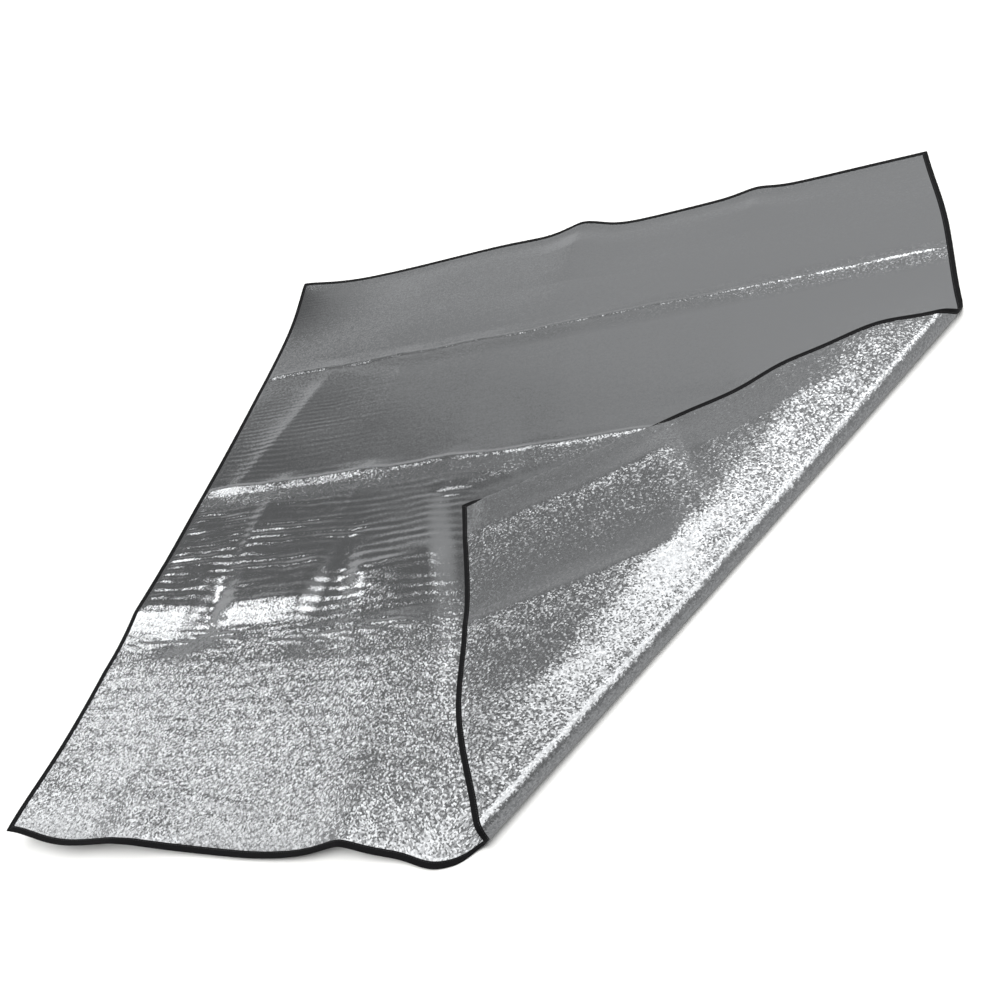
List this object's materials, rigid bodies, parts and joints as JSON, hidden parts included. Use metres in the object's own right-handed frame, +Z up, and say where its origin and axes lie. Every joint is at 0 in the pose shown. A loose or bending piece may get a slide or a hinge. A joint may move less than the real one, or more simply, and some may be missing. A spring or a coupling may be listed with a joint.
{
  "type": "foam sleeping pad",
  "caption": "Square foil-faced foam sleeping pad with a tape-bound edge, a far panel that folds over and a turned-over corner that opens flat.",
  "frame": {"origin": "middle of the pad's outline, on the ground that it lies on", "axes": "+Z up, +X to the right along the near edge, +Y from the near edge to the far edge"},
  "size_m": [2.002, 2.0015, 0.0504],
  "materials": {
    "foam": "closed-cell foam",
    "film": "crinkled metallised film",
    "tape": "woven black binding",
    "thread": "spun thread"
  },
  "bodies": {
    "main_panel": {"main_foam": "foam", "main_top_film": "film", "main_bottom_film": "film", "left_tape_main": "tape", "right_tape_main": "tape", "near_tape_main": "tape", "left_thread_main": "thread", "right_thread_main": "thread", "near_thread_main": "thread"},
    "far_panel": {"far_foam": "foam", "far_top_film": "film", "far_bottom_film": "film", "left_tape_far": "tape", "far_tape": "tape", "right_tape_far": "tape", "left_thread_far": "thread", "far_thread": "thread", "right_thread_far": "thread"},
    "corner_turn": {"turn_foam": "foam", "turn_top_film": "film", "turn_bottom_film": "film", "right_tape_turn": "tape", "near_tape_turn": "tape", "right_thread_turn": "thread", "near_thread_turn": "thread"},
    "corner_flap": {"corner_foam": "foam", "corner_top_film": "film", "corner_bottom_film": "film", "right_tape_corner": "tape", "near_tape_corner": "tape", "right_thread_corner": "thread", "near_thread_corner": "thread"}
  },
  "joints": [
    {"name": "far_panel_crease", "type": "hinge", "parent": "main_panel", "child": "far_panel", "pos_m": [0, 0.5, 0.0027], "axis": [1, 0, 0], "range_deg": [0, 165]},
    {"name": "corner_turn_crease", "type": "hinge", "parent": "main_panel", "child": "corner_turn", "pos_m": [0.06, -1, 0.0027], "axis": [0.598, 0.8015, 0], "range_deg": [0, 90]},
    {"name": "corner_flap_crease", "type": "hinge", "parent": "corner_turn", "child": "corner_flap", "pos_m": [0.06, -1, 0.0477], "axis": [0.598, 0.8015, 0], "range_deg": [0, 93.56]}
  ],
  "couplings": [
    {"joint": "corner_turn_crease", "follows": "corner_flap_crease", "ratio": 0.96194}
  ]
}
